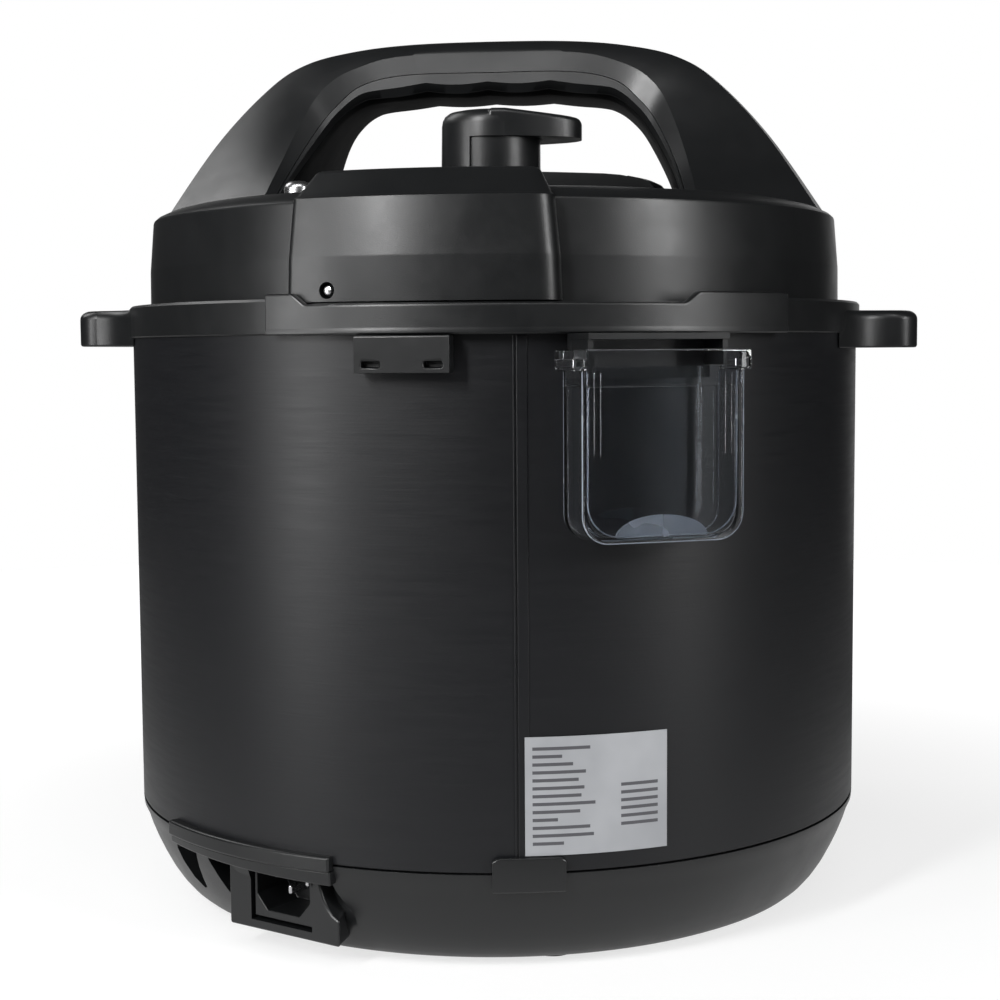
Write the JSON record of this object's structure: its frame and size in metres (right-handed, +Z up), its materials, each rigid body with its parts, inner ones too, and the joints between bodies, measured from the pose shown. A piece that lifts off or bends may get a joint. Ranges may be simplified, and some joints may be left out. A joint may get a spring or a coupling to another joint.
{
  "type": "electric pressure cooker",
  "caption": "Black electric pressure cooker: round body, twist-lock lid with arched handle, steam valve knob, clear drip cup and rear power inlet.",
  "frame": {"origin": "on the pot's axis, at the level the feet stand on", "axes": "+Z up; +X towards one carrying ear; +Y towards the rear, with the power inlet and drip cup; the control panel faces -Y"},
  "size_m": [0.327, 0.3246, 0.3324],
  "materials": {
    "black_plastic": "satin black moulded polypropylene with fine spark-eroded grain",
    "shell_paint": "satin black powder coat on sheet steel",
    "label_foil": "silver foil sticker",
    "aluminium": "plain spun or cast",
    "steel": "brushed stainless",
    "circuit_board": "green solder mask",
    "brass": "bright",
    "foot_rubber": "matt",
    "panel_gloss": "gloss",
    "silicone": "translucent white silicone",
    "clear_cup": "clear polycarbonate",
    "button_plastic": "satin grey"
  },
  "bodies": {
    "housing": {"base_shell": "black_plastic", "body_shell": "shell_paint", "rear_clip": "black_plastic", "inlet_visor": "black_plastic", "rim_collar": "black_plastic", "rear_rim_guard": "black_plastic", "slotted_block": "black_plastic", "cup_bracket": "black_plastic", "label_plate": "label_foil", "outer_pot": "aluminium", "heating_plate": "aluminium", "sensor_bracket": "steel", "sensor_spring": "steel", "pressure_switch": "black_plastic", "thermal_fuse": "steel", "power_board": "circuit_board", "control_board": "circuit_board", "power_inlet": "black_plastic", "inlet_pin_1": "brass", "inlet_pin_2": "brass", "inlet_pin_3": "brass", "base_screw_1": "steel", "base_screw_2": "steel", "base_screw_3": "steel", "foot_1": "foot_rubber", "foot_2": "foot_rubber", "foot_3": "foot_rubber", "foot_4": "foot_rubber", "control_panel": "black_plastic", "display_window": "panel_gloss"},
    "sensor": {"temperature_sensor": "aluminium"},
    "pot": {"inner_pot": "steel"},
    "cup": {"condensation_cup": "clear_cup"},
    "lid_carrier": {"lid_interlock_slider": "black_plastic"},
    "lid": {"lid_cover": "black_plastic", "handle_top": "black_plastic", "handle_grip": "black_plastic", "valve_housing": "black_plastic", "central_dome": "black_plastic", "lid_stud": "steel", "lid_plate": "steel", "lid_nut": "steel", "sealing_ring": "silicone", "ring_rack": "steel", "anti_block_shield": "steel", "exhaust_stem": "steel"},
    "knob": {"steam_valve_knob": "black_plastic"},
    "float": {"float_valve": "steel", "float_seal": "silicone"},
    "button_soup": {"button_soup": "button_plastic"},
    "button_rice": {"button_rice": "button_plastic"},
    "button_meat": {"button_meat": "button_plastic"},
    "button_keep_warm": {"button_keep_warm": "button_plastic"},
    "button_plus": {"button_plus": "button_plastic"},
    "button_minus": {"button_minus": "button_plastic"},
    "button_start": {"button_start": "button_plastic"},
    "button_cancel": {"button_cancel": "button_plastic"}
  },
  "joints": [
    {"name": "sensor_press", "type": "slide", "parent": "housing", "child": "sensor", "axis": [0, 0, -1], "range_m": [0, 0.003], "stiffness_N_per_m": 400, "springref_m": -0.003, "deforming": ["sensor_spring"]},
    {"name": "lid_turn", "type": "hinge", "parent": "housing", "child": "lid_carrier", "pos_m": [0, 0, 0.214], "axis": [0, 0, 1], "range_deg": [0, 30]},
    {"name": "lid_lift", "type": "slide", "parent": "lid_carrier", "child": "lid", "axis": [0, 0, 1], "range_m": [0, 0.4]},
    {"name": "pot_lift", "type": "slide", "parent": "housing", "child": "pot", "axis": [0, 0, 1], "range_m": [0, 0.18]},
    {"name": "cup_slide", "type": "slide", "parent": "housing", "child": "cup", "axis": [-0.4226, 0.9063, 0], "range_m": [0, 0.05]},
    {"name": "knob_turn", "type": "hinge", "parent": "lid", "child": "knob", "pos_m": [-0.008, 0.0775, 0.28], "axis": [0, 0, 1], "range_deg": [0, 45]},
    {"name": "float_rise", "type": "slide", "parent": "lid", "child": "float", "axis": [0, 0, 1], "range_m": [0, 0.0048]},
    {"name": "button_soup_press", "type": "slide", "parent": "housing", "child": "button_soup", "axis": [0, 1, 0], "range_m": [0, 0.0008], "stiffness_N_per_m": 900, "springref_m": -0.0005},
    {"name": "button_rice_press", "type": "slide", "parent": "housing", "child": "button_rice", "axis": [0, 1, 0], "range_m": [0, 0.0008], "stiffness_N_per_m": 900, "springref_m": -0.0005},
    {"name": "button_meat_press", "type": "slide", "parent": "housing", "child": "button_meat", "axis": [0, 1, 0], "range_m": [0, 0.0008], "stiffness_N_per_m": 900, "springref_m": -0.0005},
    {"name": "button_keep_warm_press", "type": "slide", "parent": "housing", "child": "button_keep_warm", "axis": [0, 1, 0], "range_m": [0, 0.0008], "stiffness_N_per_m": 900, "springref_m": -0.0005},
    {"name": "button_plus_press", "type": "slide", "parent": "housing", "child": "button_plus", "axis": [0, 1, 0], "range_m": [0, 0.0008], "stiffness_N_per_m": 900, "springref_m": -0.0005},
    {"name": "button_minus_press", "type": "slide", "parent": "housing", "child": "button_minus", "axis": [0, 1, 0], "range_m": [0, 0.0008], "stiffness_N_per_m": 900, "springref_m": -0.0005},
    {"name": "button_start_press", "type": "slide", "parent": "housing", "child": "button_start", "axis": [0, 1, 0], "range_m": [0, 0.0008], "stiffness_N_per_m": 900, "springref_m": -0.0005},
    {"name": "button_cancel_press", "type": "slide", "parent": "housing", "child": "button_cancel", "axis": [0, 1, 0], "range_m": [0, 0.0008], "stiffness_N_per_m": 900, "springref_m": -0.0005}
  ],
  "couplings": [
    {"joint": "pot_lift", "follows": "lid_lift", "ratio": 0.45}
  ]
}
